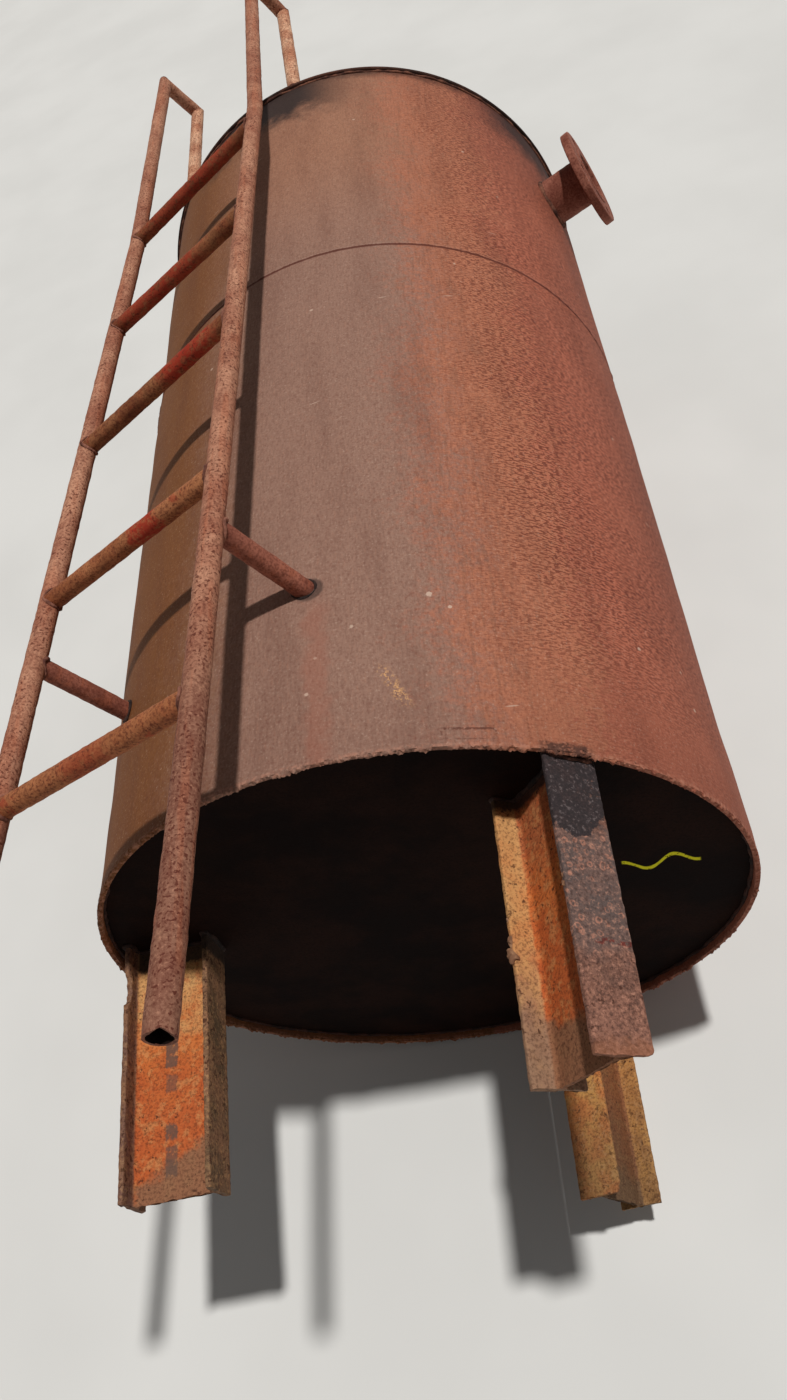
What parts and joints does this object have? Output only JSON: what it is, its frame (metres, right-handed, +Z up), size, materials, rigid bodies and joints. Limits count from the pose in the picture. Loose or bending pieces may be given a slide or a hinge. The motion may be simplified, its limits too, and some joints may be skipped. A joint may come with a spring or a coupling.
{
  "type": "small cylindrical steel storage tank on I-section legs, lying on its side",
  "caption": "Rusted cylindrical steel tank lying on its side, with I-section legs, a pipe ladder with grab rails and a flanged side nozzle.",
  "frame": {"origin": "centre of the floor rectangle under the part as it lies, on the floor", "axes": "+Y along the tank from the leg end to the roof end, +X towards the nozzle side, +Z up from the floor"},
  "size_m": [0.9144, 2.2287, 0.9877],
  "materials": {
    "shell_steel": "even brown-red rust, matt with a faint sheen",
    "end_plate_steel": "dark brown rust, matt",
    "leg_steel": "orange and brown rust with worn dark paint, matt",
    "pipe_steel": "pitted pink-brown rust, matt",
    "rung_steel": "worn red-orange paint over rust, matt",
    "nozzle_steel": "dull red-brown rust, matt"
  },
  "bodies": {
    "root": {"shell_lower_course": "shell_steel", "shell_upper_course": "shell_steel", "girth_weld": "shell_steel", "bottom_plate": "end_plate_steel", "roof_plate": "end_plate_steel", "leg_top_right": "leg_steel", "leg_left": "leg_steel", "leg_low_right": "leg_steel", "stringer_left": "pipe_steel", "stringer_right": "pipe_steel", "rung_1": "rung_steel", "rung_2": "rung_steel", "rung_3": "rung_steel", "rung_4": "rung_steel", "rung_5": "rung_steel", "strut_left": "pipe_steel", "strut_right": "pipe_steel", "rail_post_left": "pipe_steel", "rail_cross_left": "pipe_steel", "rail_return_left": "pipe_steel", "rail_post_right": "pipe_steel", "rail_cross_right": "pipe_steel", "rail_return_right": "pipe_steel", "nozzle_pipe": "nozzle_steel", "nozzle_flange": "nozzle_steel"}
  },
  "joints": []
}
